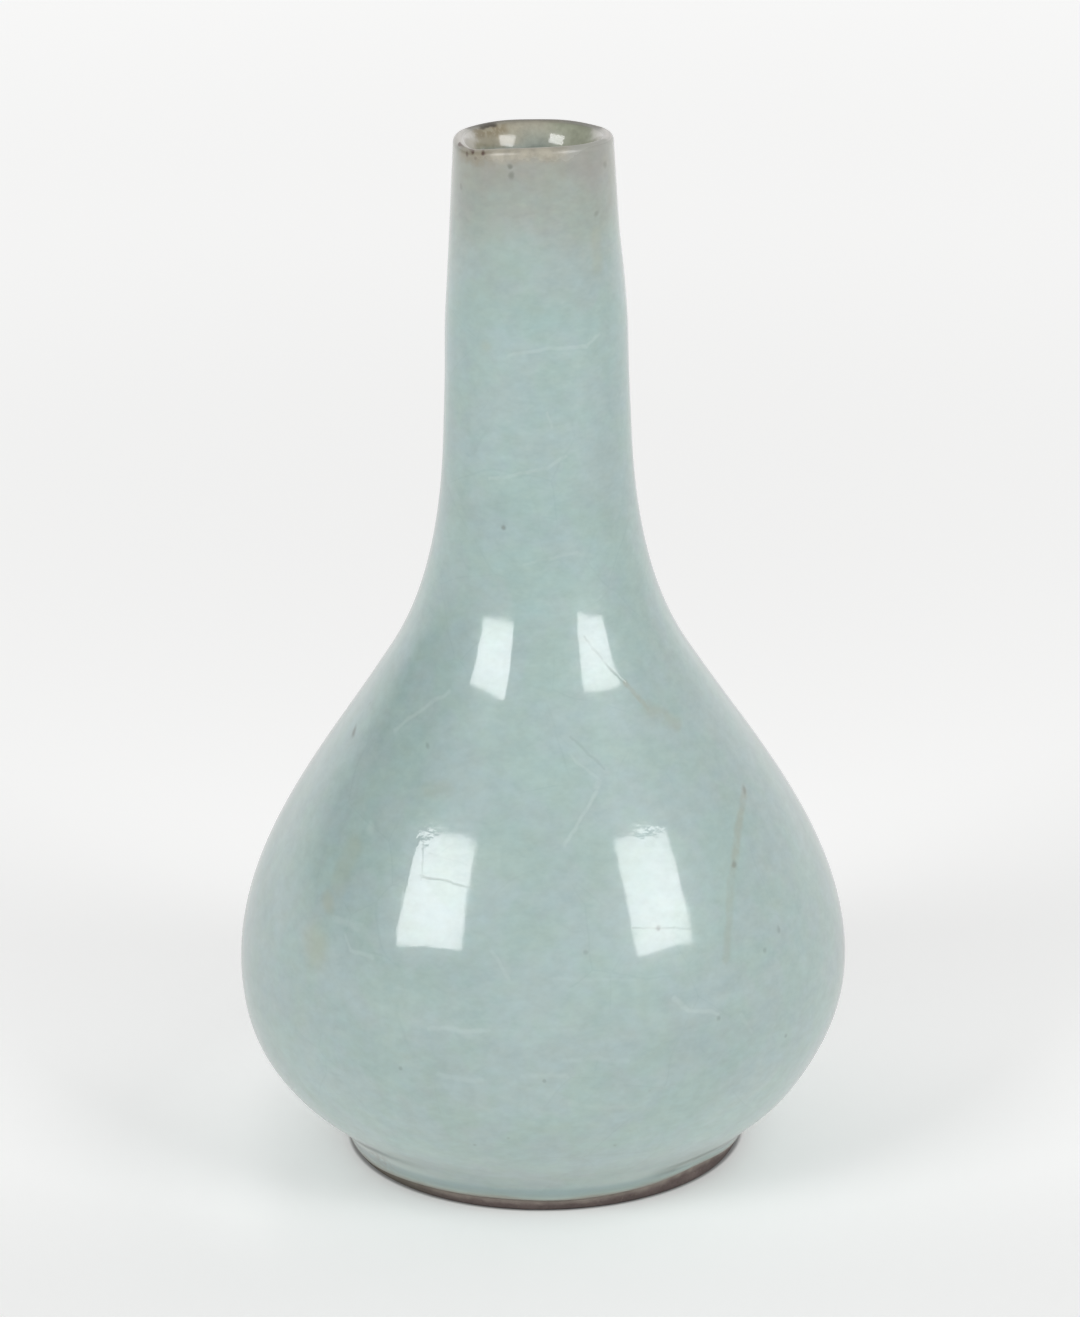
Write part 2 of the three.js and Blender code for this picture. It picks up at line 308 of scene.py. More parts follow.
class Outline:
    """The clay's outer outline from the bowl's underside to the lip, with the wall's thicknesses."""

    def __init__(self, density):
        up = np.array([0.0, 1.0])
        base, widest, shoulder, root, lip = np.array([
            (FOOT_TOP_RADIUS, UNDERSIDE),
            (WIDEST_RADIUS, WIDEST),
            (SHOULDER_RADIUS, SHOULDER),
            (NECK_RADIUS, NECK_ROOT),
            (LIP_RADIUS + LIP_HALF, LIP),
        ])
        bowl_way = steered(BOWL_ANGLE)
        shoulder_way = steered(90 + SHOULDER_ANGLE)
        self.neck_way = (lip - root) / np.linalg.norm(lip - root)

        curves = [
            (base, base + BOWL_HOLDS[0] * bowl_way, widest - BOWL_HOLDS[1] * up, widest),
            (widest, widest + SHOULDER_HOLDS[0] * up, shoulder - SHOULDER_HOLDS[1] * shoulder_way, shoulder),
            (shoulder, shoulder + FLARE_HOLDS[0] * shoulder_way, root - FLARE_HOLDS[1] * self.neck_way, root),
            (root, root + (lip - root) / 3, lip - (lip - root) / 3, lip),
        ]
        counts = [round(steps * density) for steps in CURVE_STEPS]
        shares = [np.arange(count) / count for count in counts]
        cuts = [cubic(*curve, share) for curve, share in zip(curves, shares)]
        self.place = np.concatenate([points for points, _ in cuts])
        self.way = np.concatenate([way for _, way in cuts])
        self.inward = np.stack([-self.way[:, 1], self.way[:, 0]], 1)
        walls = [WALL_FOOT, WALL_GIRTH, WALL_SHOULDER, WALL_NECK, WALL_NECK]
        runs = zip(walls, walls[1:], shares)
        self.wall = np.concatenate([low + (high - low) * share for low, high, share in runs])
        thin = np.clip((self.place[:, 1] - (LIP - GLAZE_THINNING)) / GLAZE_THINNING, 0, 1)
        self.glaze = OUTER_GLAZE + (LIP_GLAZE - OUTER_GLAZE) * thin

    def outside(self, thickness, lip_thickness, lip_points):
        """A surface outside the clay, up to the crest of the lip."""
        wall = self.place - self.inward * np.reshape(thickness, (-1, 1))
        return np.concatenate([wall, arc((LIP_RADIUS, LIP), LIP_HALF + lip_thickness, 0, 90, lip_points)])

    def inside(self, thickness, lip_thickness, floor_points, mouth_points, lip_points):
        """A surface inside the clay, from the middle of the floor to the crest of the lip."""
        inward = np.array([-self.neck_way[1], self.neck_way[0]])
        lip_depth = -LIP_HALF * inward[0]
        sideways = MOUTH_ROUNDING - WALL_NECK + lip_depth
        reach = MOUTH_ROUNDING - LIP_HALF
        drop = math.sqrt(reach**2 - sideways**2)
        centre = np.array([LIP_RADIUS, LIP]) - inward * sideways - self.neck_way * drop
        wall_turn = 180 + math.degrees(math.asin(-inward[1]))
        lip_turn = wall_turn - math.degrees(math.acos(sideways / reach))
        mouth = arc(centre, MOUTH_ROUNDING + lip_thickness, wall_turn, lip_turn, mouth_points)
        lip = arc((LIP_RADIUS, LIP), LIP_HALF + lip_thickness, lip_turn, 90, lip_points)[1:]
        heights = self.place[:, 1]
        turned = (heights > UNDERSIDE + WALL_START_RISE) & (heights < centre[1] - WALL_END_DROP)
        wall = (self.place + self.inward * (self.wall + thickness)[:, None])[turned]
        level = FLOOR_LEVEL + thickness
        corner_hold = wall[0] - FLOOR_CORNER_HOLD * self.way[turned][0]
        shares = np.arange(floor_points) / floor_points
        floor, _ = cubic((0, level), (FLOOR_FLAT_RADIUS, level), corner_hold, wall[0], shares)
        return np.concatenate([floor, wall, mouth, lip])


def stretch(path, low, high):
    """The part of a rising profile between two heights, with its ends exactly there."""
    ends = [(np.interp(level, path[:, 1], path[:, 0]), level) for level in (low, high)]
    within = (path[:, 1] > low + 0.02) & (path[:, 1] < high - 0.02)
    return np.concatenate([ends[:1], path[within], ends[1:]])


def foot_wall_radius(height):
    return FOOT_RADIUS + FOOT_FLARE * (height - FOOT_BEVEL) / (FOOT_RING_HEIGHT - FOOT_BEVEL)


# What the hand and the kiln left


def waves(angle, kinds):
    """Even waves round the vase, each as count, size and start."""
    return sum(size * np.sin(count * angle + start) for count, size, start in kinds)


def swells(angle, sides):
    """Swells at some sides of the vase, each as angle, spread and size."""
    return sum(size * around(angle, centre, spread) for centre, spread, size in sides)


def thrown(angle, radius, height):
    """Moves a place on a true body of revolution onto the hand-thrown vase. Returns x, y and z."""
    bump = smooth(height, *BODY_UNEVEN) * waves(angle, BODY_WAVES)
    bump += smooth(height, *NECK_UNEVEN) * waves(angle, NECK_WAVES)
    for centre, spread, level, reach, size in LUMPS:
        bump += size * around(angle, centre, spread) * hump(height, level, reach)
    bump += swells(angle, FOOT_SWELLS) * (1 - smooth(height, *FOOT_UNEVEN_END))
    right = 0.5 + 0.5 * np.cos(angle)
    bump -= RIGHT_DRAWN_IN * right * smooth(height, *RIGHT_DRAWN_IN_FROM)
    lift = smooth(height, *LIP_UNEVEN) * (waves(angle, LIP_WAVES) + swells(angle, LIP_SWELLS))
    lean = LEAN * hump(height, *LEAN_AT)
    moved = radius + bump * np.minimum(1, radius / TRUE_MIDDLE)
    return moved * np.cos(angle) + lean, moved * np.sin(angle), height + lift


def glaze_edge(angle):
    """The height of the outer glaze's edge round the foot: it ran nearly to the floor at the front left."""
    return BARE_BAND + waves(angle, GLAZE_EDGE_WAVES) + swells(angle, GLAZE_EDGE_SWELLS)


# Meshes


def numbers_of(items, name):
    """A whole number of each of a mesh's items, all at once."""
    values = np.zeros(len(items), np.int64)
    items.foreach_get(name, values)
    return values


def placed(name, data):
    """A new object in the scene."""
    made = bpy.data.objects.new(name, data)
    bpy.context.scene.collection.objects.link(made)
    return made


class Turned:
    """A mesh of rings. path holds each ring's radius and height; place_at(angle, ring) gives x, y and z.

    A ring of no radius becomes a single point. With closed set, the last ring joins the first.
    """

    def __init__(self, name, path, segments, place_at, closed=False):
        self.path = path
        self.segments = segments
        self.angles = np.arange(segments) * 2 * np.pi / segments
        self.starts = [0]
        vertices = []
        for ring, (radius, _) in enumerate(path):
            at = self.angles[:1] if radius < 1e-6 else self.angles
            vertices.append(np.stack(place_at(at, ring), 1))
            self.starts.append(self.starts[-1] + len(at))
        mesh = bpy.data.meshes.new(name)
        mesh.from_pydata((np.concatenate(vertices) * MM).tolist(), [], self.faces(closed))
        mesh.shade_smooth()
        mesh.update()
        self.piece = placed(name, mesh)

    def faces(self, closed):
        faces = []
        rings = len(self.path)
        here = np.arange(self.segments)
        after = (here + 1) % self.segments
        for ring in range(rings if closed else rings - 1):
            above = (ring + 1) % rings
            low, high = self.starts[ring], self.starts[above]
            if self.path[ring][0] < 1e-6:
                corners = [np.full(self.segments, low), high + here, high + after]
            elif self.path[above][0] < 1e-6:
                corners = [low + here, np.full(self.segments, high), low + after]
            else:
                corners = [low + here, high + here, high + after, low + after]
            faces.extend(np.stack(corners, 1).tolist())
        return faces

    def paint(self, name, values_at):
        """Writes a number to each point of the mesh; values_at(angle, ring) gives them ring by ring."""
        values = np.zeros(self.starts[-1], np.float32)
        for ring, (start, end) in enumerate(zip(self.starts, self.starts[1:])):
            values[start:end] = values_at(self.angles[:end - start], ring)
        attribute = self.piece.data.attributes.new(name, "FLOAT", "POINT")
        attribute.data.foreach_set("value", values)

    def unwrap(self, islands):
        """A cylinder map, cut at the back. islands holds first ring, end ring and their band of the map."""
        runs = np.r_[0, np.cumsum(np.linalg.norm(np.diff(self.path, axis=0), axis=1))]
        across = np.zeros(len(self.path))
        for first, end, low, high in islands:
            length = runs[end - 1] - runs[first]
            across[first:end] = low + (high - low) * (runs[first:end] - runs[first]) / length
        mesh = self.piece.data
        corners = numbers_of(mesh.loops, "vertex_index")
        starts = np.array(self.starts)
        ring = np.searchsorted(starts, corners, side="right") - 1
        turn = ((corners - starts[ring]) / self.segments - 0.25) % 1.0
        first = numbers_of(mesh.polygons, "loop_start")
        face = np.repeat(np.arange(len(first)), numbers_of(mesh.polygons, "loop_total"))
        wraps = (np.maximum.reduceat(turn, first)[face] > 0.9) & (turn < 0.1)
        turn = np.where(wraps, turn + 1, turn)
        layer = mesh.uv_layers.new(name="OFBake")
        places = np.stack([turn * 0.98 + 0.01, across[ring]], 1)
        layer.data.foreach_set("uv", places.astype(np.float32).ravel())


def dress(piece, material, slot, *nodes):
    """Gives a piece its material, attaches it to the root body and hides the nodes that it stands for."""
    piece.data.materials.append(material)
    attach(piece, "root")
    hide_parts(*nodes)


def foot_pool(skin, way):
    """The glaze in the corner above the foot, as a curve from the foot's wall to the coat of the bowl."""
    face_radius = FOOT_TOP_RADIUS + OUTER_GLAZE
    roll_height = BARE_BAND + GLAZE_ROLL
    corner = skin[0][1] + (face_radius - skin[0][0]) * way[0][1] / way[0][0]
    low = roll_height + (corner - roll_height) * POOL_START
    end, end_way = skin[POOL_END], way[POOL_END]
    hold = end[1] - (end[0] - face_radius) * end_way[1] / end_way[0]
    start = np.array([face_radius, low])
    middle = np.array([face_radius, hold])
    t = np.linspace(0, 1, POOL_POINTS)[:, None]
    return (1 - t) ** 2 * start + 2 * (1 - t) * t * middle + t * t * end


def coat_profile():
    """The coat's four stretches: inside, outside, and back along the clay outside and inside."""
    outline = Outline(OUTSIDE_DENSITY)
    skin = outline.outside(outline.glaze, LIP_GLAZE, FINE_LIP_POINTS)
    pool = foot_pool(skin, outline.way)
    roll_centre = (FOOT_TOP_RADIUS + OUTER_GLAZE - GLAZE_ROLL, BARE_BAND + GLAZE_ROLL)
    roll = arc(roll_centre, GLAZE_ROLL, -90, 0, 6)
    inside = Outline(INSIDE_DENSITY).inside(INNER_GLAZE, LIP_GLAZE, **FINE_INSIDE)
    outside = np.concatenate([skin[POOL_END + 1:][::-1][1:], pool[::-1], roll[::-1]])
    back = Outline(BOND_DENSITY)
    foot_back = [
        (foot_wall_radius(BARE_BAND) + BOND_GAP, BARE_BAND),
        (FOOT_TOP_RADIUS + BOND_GAP, FOOT_RING_HEIGHT),
    ]
    back_outside = np.concatenate([foot_back, back.outside(BOND_GAP, BOND_GAP, COARSE_LIP_POINTS)])
    back_inside = back.inside(BOND_GAP, BOND_GAP, **COARSE_INSIDE)[::-1][1:]
    return inside, outside, back_outside, back_inside


def glaze_coat():
    """The one coat of glaze: floor, inside, lip, outside down to its rolled edge, and back along the clay."""
    stretches = coat_profile()
    path = np.concatenate(stretches)
    inside_end, outside_end, back_end, path_end = np.cumsum([len(points) for points in stretches])
    lip_radius = LIP_HALF + LIP_GLAZE + 0.1

    def is_outside(ring):
        return inside_end <= ring < back_end

    def height_at(angle, ring):
        """The glaze of the foot wall rises or falls with its edge, less and less up to the bowl."""
        height = path[ring][1]
        if not is_outside(ring):
            return height
        share = 1 - smooth(height, BARE_BAND + GLAZE_ROLL, EDGE_FADES)
        return height + (glaze_edge(angle) - BARE_BAND) * share

    def place_at(angle, ring):
        return thrown(angle, path[ring][0], height_at(angle, ring))

    def above_edge_at(angle, ring):
        return height_at(angle, ring) - glaze_edge(angle) if is_outside(ring) else FAR_FROM_EDGE

    def crest_at(angle, ring):
        """1 along the top of the lip, falling away down both its sides."""
        radius, height = path[ring][0] - LIP_RADIUS, path[ring][1] - LIP
        turn = math.degrees(math.atan2(height, radius))
        return hump(turn, 90, CREST_SPREAD) if math.hypot(radius, height) < lip_radius else 0.0

    coat = Turned("glaze_coat", path, GLAZE_SEGMENTS, place_at)
    coat.paint("inside", lambda angle, ring: 0.0 if is_outside(ring) else 1.0)
    coat.paint("above_edge", above_edge_at)
    coat.paint("crest", crest_at)
    coat.unwrap([
        (0, inside_end, 0.0, 0.24),
        (inside_end, outside_end, 0.25, 0.9),
        (outside_end, path_end, 0.91, 1.0),
    ])
    return coat.piece


def clay_piece(name, path, closed):
    """A thrown section of the body, hidden under the glaze."""
    def place_at(angle, ring):
        return thrown(angle, *path[ring])

    return Turned(name, path, CLAY_SEGMENTS, place_at, closed).piece


def clay_sections():
    """The hidden sections: name, profile, whether its last ring joins its first, slot and node."""
    outside = Outline(BOND_DENSITY).outside(0, 0, COARSE_LIP_POINTS)
    inside = Outline(BOND_DENSITY).inside(0, 0, **COARSE_INSIDE)

    def band(low, high):
        return np.concatenate([stretch(outside, low, high), stretch(inside, low, high)[::-1]])

    bowl_outside = stretch(outside, UNDERSIDE, GIRTH_JOINT)
    bowl_inside = stretch(inside, FLOOR_LEVEL, GIRTH_JOINT)
    bowl = np.concatenate([[(0, UNDERSIDE)], bowl_outside, bowl_inside[::-1]])
    girth_top = GIRTH_JOINT + SLIP
    neck_seam_top = NECK_JOINT + SLIP
    return [
        ("lower_body_thrown", bowl, False, "body_clay", "lower_body"),
        ("girth_slip", band(GIRTH_JOINT, girth_top), True, "slip", "girth_slip_joint"),
        ("upper_body_thrown", band(girth_top, NECK_JOINT), True, "body_clay", "upper_body"),
        ("neck_slip", band(NECK_JOINT, neck_seam_top), True, "slip", "neck_slip_joint"),
        ("neck_thrown", band(neck_seam_top, LIP + LIP_HALF), True, "body_clay", "neck"),
    ]


def level_run(first, last, height, count):
    """Points at one height between two radii, without the two ends."""
    radius = np.linspace(first, last, count)[1:-1]
    return np.stack([radius, np.full(count - 2, height)], 1)


def foot_ring():
    """The bare clay ring: turned walls, bevels rubbed by wear and a flat rim to stand on."""
    rising = np.linspace(FOOT_BEVEL, FOOT_RING_HEIGHT, 22)
    outer = np.stack([foot_wall_radius(rising), rising], 1)
    falling = np.linspace(FOOT_RING_HEIGHT, FOOT_BEVEL, 18)
    draft = RECESS_DRAFT * (falling - FOOT_BEVEL) / (FOOT_RING_HEIGHT - FOOT_BEVEL)
    inner = np.stack([RECESS_RADIUS - draft, falling], 1)
    outer_bevel = arc((FOOT_RADIUS - FOOT_BEVEL, FOOT_BEVEL), FOOT_BEVEL, -90, 0, 6)[:-1]
    inner_bevel = arc((RECESS_RADIUS + FOOT_BEVEL, FOOT_BEVEL), FOOT_BEVEL, 180, 270, 6)[1:]
    rim = level_run(RECESS_RADIUS + FOOT_BEVEL, FOOT_RADIUS - FOOT_BEVEL, 0.0, 9)
    top = level_run(FOOT_TOP_RADIUS, RECESS_ROOF_RADIUS, FOOT_RING_HEIGHT, 5)
    path = np.concatenate([outer_bevel, outer, top, inner, inner_bevel, rim])[::-1]
    middle = (FOOT_RADIUS + RECESS_RADIUS) / 2

    def place_at(angle, ring):
        radius, height = path[ring]
        outwards = 1 if radius > middle else -1
        is_wall = abs(radius - middle) > (FOOT_RADIUS - RECESS_RADIUS) / 2 - FOOT_BEVEL
        above_rim = smooth(height, 0.2, 1.0)
        turning = TURNING_DEPTH * np.sin(height * 2 * np.pi / TURNING_PITCH + angle) * above_rim
        wear = RIM_WEAR * np.sin(9 * angle + 1.7 * np.sin(4 * angle)) * (1 - smooth(height, 0.3, 1.4))
        chips = RIM_CHIPS * np.maximum(0, np.sin(23 * angle + 5 * np.sin(3 * angle)) - 0.8)
        chips *= 1 - above_rim
        moved = radius + outwards * is_wall * (turning - np.abs(wear) - chips)
        if outwards > 0:
            moved = moved + swells(angle, FOOT_SWELLS)
        return moved * np.cos(angle), moved * np.sin(angle), np.full(len(angle), height)

    def below_glaze_at(angle, ring):
        is_front = path[ring][0] > FOOT_RADIUS - 2 * FOOT_BEVEL
        return glaze_edge(angle) - path[ring][1] if is_front else 9.0

    ring_mesh = Turned("foot_ring_turned", path, GLAZE_SEGMENTS, place_at, closed=True)
    ring_mesh.paint("below_glaze", below_glaze_at)
    return ring_mesh.piece


def base_coat():
    """The glaze on the underside, pooled in the recess's corner, with an uneven edge down the ring's wall."""
    rim_radius = RECESS_ROOF_RADIUS - BOND_GAP
    face = UNDERSIDE - BASE_GLAZE
    edge = face - BASE_CLIMB
    pool_centre = (rim_radius - BASE_GLAZE - BASE_POOL_RADIUS, face - BASE_POOL_RADIUS)
    pool = arc(pool_centre, BASE_POOL_RADIUS, 90, 0, 10)
    flat = np.linspace(0, pool[0][0], 30)[:-1]
    path = np.concatenate([
        np.stack([flat, np.full(len(flat), face)], 1),
        pool,
        [(rim_radius - BASE_GLAZE / 2, edge + 0.06), (rim_radius, edge), (rim_radius, UNDERSIDE - 0.3)],
        [(rim_radius, UNDERSIDE), (rim_radius / 2, UNDERSIDE), (0, UNDERSIDE)],
    ])[::-1]

    def place_at(angle, ring):
        radius, height = path[ring]
        level = np.full(len(angle), height)
        if height < face - 0.1:
            level += waves(angle, BASE_EDGE_WAVES) * (face - height) / BASE_CLIMB
        elif height < face + 0.1:
            level += 0.05 * np.sin(radius / 3.1 + 0.5 * np.sin(3 * angle))
        return radius * np.cos(angle), radius * np.sin(angle), np.minimum(level, UNDERSIDE)

    return Turned("base_coat", path, CLAY_SEGMENTS, place_at).piece


# Materials


def linear(colour):
    """A colour's node value. Three numbers are screen values, 0 to 255, and anything else stays."""
    if not isinstance(colour, tuple) or len(colour) != 3:
        return colour
    values = [v / 255 for v in colour]
    return tuple(v / 12.92 if v <= 0.04045 else ((v + 0.055) / 1.055) ** 2.4 for v in values) + (1.0,)


class Shader:
    """The nodes of a material or a world, in millimetres. Each call adds a node and gives back its output."""

    def __init__(self, holder):
        self.holder = holder
        holder.use_nodes = True
        self.tree = holder.node_tree
        self.tree.nodes.clear()

    def add(self, kind, inputs=None, output=0, **settings):
        node = self.tree.nodes.new("ShaderNode" + kind)
        for key, value in settings.items():
            setattr(node, key, value)
        for key, value in (inputs or {}).items():
            if isinstance(value, bpy.types.NodeSocket):
                self.tree.links.new(value, node.inputs[key])
            else:
                node.inputs[key].default_value = value
        return node.outputs[output]

    def place(self):
        """The place on the object in millimetres."""
        return self.scaled(self.add("TexCoord", output="Object"), 1 / MM)

    def number(self, name):
        return self.add("Attribute", output="Fac", attribute_name=name)

    def math(self, operation, first, second=0.0):
        return self.add("Math", {0: first, 1: second}, operation=operation)

    def times(self, first, second):
        return self.math("MULTIPLY", first, second)

    def plus(self, first, *others):
        for other in others:
            first = self.math("ADD", first, other)
        return first

    def opposite(self, share):
        """What a share leaves of 1."""
        return self.math("SUBTRACT", 1.0, share)

    def vector(self, operation, first, second=(0, 0, 0), output=0):
        return self.add("VectorMath", {0: first, 1: second}, output=output, operation=operation)

    def scaled(self, vector, factor):
        return self.add("VectorMath", {0: vector, "Scale": factor}, operation="SCALE")

    def axis(self, vector, name):
        return self.add("SeparateXYZ", {0: vector}, output=name)

    def noise(self, place, size, detail=2.0, roughness=0.5, output="Fac"):
        """Noise from 0 to 1 whose features are about size across."""
        inputs = {"Vector": place, "Scale": 1 / size, "Detail": detail, "Roughness": roughness}
        return self.add("TexNoise", inputs, output=output)

    def swing(self, place, size, reach, detail=2.0):
        """Noise about 0 that reaches about this far to both sides."""
        return self.times(self.math("SUBTRACT", self.noise(place, size, detail), 0.5), 4 * reach)

    def warped(self, place, size, reach):
        """The place moved about by noise."""
        centred = self.vector("SUBTRACT", self.noise(place, size, output="Color"), (0.5, 0.5, 0.5))
        return self.vector("ADD", place, self.scaled(centred, reach * 2))

    def cells(self, place, size, feature, output="Distance"):
        inputs = {"Vector": place, "Scale": 1 / size}
        return self.add("TexVoronoi", inputs, output=output, feature=feature)

    def between(self, value, low, high, to_low=0.0, to_high=1.0):
        """to_low below low, to_high above high, and an even rise or fall between."""
        inputs = {"Value": value, "From Min": low, "From Max": high, "To Min": to_low, "To Max": to_high}
        return self.add("MapRange", inputs, interpolation_type="SMOOTHSTEP")

    def falling(self, value, low, high):
        """1 below low, and 0 above high."""
        return self.between(value, low, high, 1.0, 0.0)

    def band(self, value, start, full, full_end, end):
        """0 up to start, 1 from full to full_end, and 0 again after end."""
        return self.times(self.between(value, start, full), self.falling(value, full_end, end))

    def hairlines(self, place, size, width):
        """1 along the borders of a net of cells; width is a share of their size."""
        return self.falling(self.cells(place, size, "DISTANCE_TO_EDGE"), 0.0, width)

    def ramp(self, value, stops):
        output = self.add("ValToRGB", {0: value})
        elements = output.node.color_ramp.elements
        while len(elements) < len(stops):
            elements.new(0.5)
        for element, (position, colour) in zip(elements, stops):
            element.position = position
            element.color = linear(colour)
        return output

    def mix(self, share, first, second):
        colours = {"Factor": share, 6: linear(first), 7: linear(second)}
        return self.add("Mix", colours, output=2, data_type="RGBA")

    def spot(self, place, centre, reach, soft=MARK_SOFTNESS):
        """1 within a round spot, falling to 0 at its edge."""
        distance = self.vector("DISTANCE", place, centre, output="Value")
        return self.falling(distance, reach * (1 - soft), reach)

    def streak(self, place, start, end, reach):
        """1 along a straight line between two points, falling to 0 at its edge."""
        along = Vector(end) - Vector(start)
        from_start = self.vector("SUBTRACT", place, start)
        share = self.vector("DOT_PRODUCT", from_start, tuple(along / along.length_squared), output="Value")
        nearest = self.scaled(tuple(along), self.add("Clamp", {"Value": share}))
        return self.spot(from_start, nearest, reach)

    def laid_flat(self, place):
        """The glaze laid flat: millimetres to the right of the front, and height."""
        x, y, z = (self.axis(place, name) for name in "XYZ")
        turn = self.math("ARCTAN2", x, self.times(y, -1))
        radius = self.math("SQRT", self.plus(self.times(x, x), self.times(y, y)))
        return self.add("CombineXYZ", {0: self.times(turn, radius), 1: z})

    def strongest(self, flat, marks):
        """How strongly any of the marks shows at a place on the glaze laid flat."""
        share = 0.0
        for reach, strength, *points in marks:
            places = [on_flat(*point) for point in points]
            shares = [self.streak(flat, start, end, reach) for start, end in zip(places, places[1:])]
            for each in shares or [self.spot(flat, places[0], reach)]:
                share = self.math("MAXIMUM", share, self.times(each, strength))
        return share

    def bump(self, height, distance, normal=None):
        inputs = {"Height": height, "Distance": distance * MM}
        if normal is not None:
            inputs["Normal"] = normal
        return self.add("Bump", inputs)

    def rays(self):
        """Whether a ray comes from the camera, from a reflection or through glass."""
        kinds = ("Is Camera Ray", "Is Glossy Ray", "Is Transmission Ray")
        return [self.add("LightPath", output=kind) for kind in kinds]

    def finish(self, **inputs):
        named = {key.replace("_", " "): value for key, value in inputs.items()}
        return self.surface(self.add("BsdfPrincipled", named))

    def surface(self, shader, output="OutputMaterial"):
        node = self.tree.nodes.new("ShaderNode" + output)
        self.tree.links.new(shader, node.inputs["Surface"])
        return self.holder


def new_material(name):
    return Shader(bpy.data.materials.new(name))


SKIN = Outline(1.0)
SKIN_PROFILE = SKIN.outside(SKIN.glaze, LIP_GLAZE, 8)


def on_flat(angle_degrees, height):
    """A place on the outer glaze as laid_flat has it."""
    radius = float(np.interp(height, SKIN_PROFILE[:, 1], SKIN_PROFILE[:, 0]))
    return (math.radians(angle_degrees - 270) * radius, height, 0.0)


# Colours of the glaze: as shares of the vase's height, then on the body, at the mouth and at the foot
# The stops near the foot are lighter, partly painted light standing for light bounced up from the table
GLAZE_BY_HEIGHT = [
    (0.0, (174, 194, 190)),
    (0.06, (172, 192, 188)),
    (0.12, (168, 188, 184)),
    (0.2, (159, 179, 176)),
    (0.55, (156, 178, 175)),
    (0.64, (154, 176, 173)),
    (0.84, (155, 177, 174)),
    (0.89, (156, 174, 169)),
    (0.93, (153, 165, 159)),
    (0.985, (149, 151, 143)),
]
LINING_BY_HEIGHT = [
    (0.0, (148, 162, 158)),
    (0.955, (146, 158, 154)),
    (0.976, (145, 154, 146)),
    (0.985, (151, 155, 142)),
    (0.995, (162, 158, 141)),
]
BLUER_TINT = (1.015, 0.995, 1.02, 1)
GREENER_TINT = (0.982, 1.004, 0.982, 1)
IRON_SPECK = (104, 108, 100)
HAIRLINE = (120, 142, 140)
OCHRE_STAIN = (166, 166, 136)
BROWN_STAIN = (150, 143, 118)
PALE_RUN = (192, 208, 204)
DARK_DOT = (94, 98, 88)
STAINED_CRACK = (104, 104, 92)

LIP_DARK_BEIGE = (146, 141, 126)
LIP_LIGHT_BEIGE = (170, 164, 148)
LIP_GREY = (154, 154, 147)
LINING_OLIVE = (158, 162, 143)
LINING_OCHRE = (154, 146, 122)
# Pale glaze and a painted highlight at both ends of the mouth
LINING_PALE_AND_HIGHLIGHT = (206, 203, 196)
LINING_RUST = (122, 108, 74)
CREST_FRONT = (140, 134, 118)
CREST_BACK = (78, 74, 58)
# Pale glaze and a painted highlight at the ends of the crest
CREST_PALE_AND_HIGHLIGHT = (204, 200, 194)
BLACK_STREAK = (44, 34, 6)
LIP_STAIN = (136, 126, 104)
LIP_RUST = (76, 50, 36)

# Painted light that lifts the shade in the corner above the foot, then the foot's own glaze colours and its
# pitted place
CORNER_PAINTED_LIGHT = (206, 222, 216)
WALL_BLUE = (144, 170, 172)
PITTED_GREY = (150, 148, 140)
THIN_GLAZE = (158, 165, 153)
TAN_EDGE = (144, 139, 128)
PITTED_PLACE = (-36.0, -28.0, 6.5)
PITTED_REACH = 9.0


class GlazeFields:
    """What all parts of the celadon go by: the place on the vase, and measures that noise moves about."""

    def __init__(self, s):
        place = s.place()
        self.place = place
        self.x, y, self.height = (s.axis(place, name) for name in "XYZ")
        self.inside = s.number("inside")
        self.outside = s.opposite(self.inside)
        self.above_edge = s.number("above_edge")
        self.crest = s.number("crest")
        self.drift = s.swing(place, 14, 1.0, 3.0)
        self.flat = s.laid_flat(s.warped(place, 4, 0.7))
        self.uneven = s.between(s.noise(place, 2.4), 0.3, 0.55, 0.5, 1.0)
        self.cracks = s.times(s.strongest(self.flat, CRACKS), self.uneven)
        turn = s.times(s.math("ARCTAN2", y, self.x), math.degrees(1))
        self.turn = s.plus(s.math("FLOORED_MODULO", turn, 360), s.swing(place, 4, 7, 3.0))
        self.level = s.plus(self.height, s.times(self.drift, 0.7), s.swing(place, 1.6, 0.5))
        self.across = s.plus(self.x, s.swing(place, 2.5, 0.8))
        self.ends = s.between(s.math("ABSOLUTE", self.across), 11.6, 13.6)
        lip_side = s.between(s.math("ABSOLUTE", s.plus(self.across, 1.5)), 7.5, 14.5, 0.9, 0.15)
        lip_level = s.plus(self.level, s.swing(place, 2.2, 0.5))
        self.drained = s.times(s.between(lip_level, 226.0, 228.9), lip_side)


def body_colour(s, at):
    """The blue-green changes with height, moved about by noise so that no change is a level line."""
    moved = s.plus(at.height, s.times(at.drift, 5.0), s.swing(at.place, 3.2, 1.6))
    return s.ramp(s.math("DIVIDE", moved, CREST), GLAZE_BY_HEIGHT)


def mottled(s, at, colour):
    """Cloudy patches and a fine grain, longer sideways than high, that lighten, darken and tint."""
    place = at.place
    lying = s.vector("MULTIPLY", place, (1, 1, 1.55))
    shade = s.plus(
        1.0,
        s.swing(place, 30, 0.022),
        s.swing(s.warped(place, 20, 6), 12, 0.030),
        s.swing(lying, 3.4, 0.062),
        s.swing(lying, 1.3, 0.025),
    )
    colour = s.scaled(colour, shade)
    green = s.between(s.noise(s.warped(place, 9, 3), 9, 3.0), 0.38, 0.62)
    colour = s.vector("MULTIPLY", colour, s.mix(green, BLUER_TINT, GREENER_TINT))
    warm = s.plus(s.swing(lying, 4.5, 0.02), s.swing(place, 13, 0.012))
    warm = s.add("CombineXYZ", {0: s.plus(1.0, warm), 1: 1.0, 2: s.opposite(warm)})
    return s.vector("MULTIPLY", colour, warm)


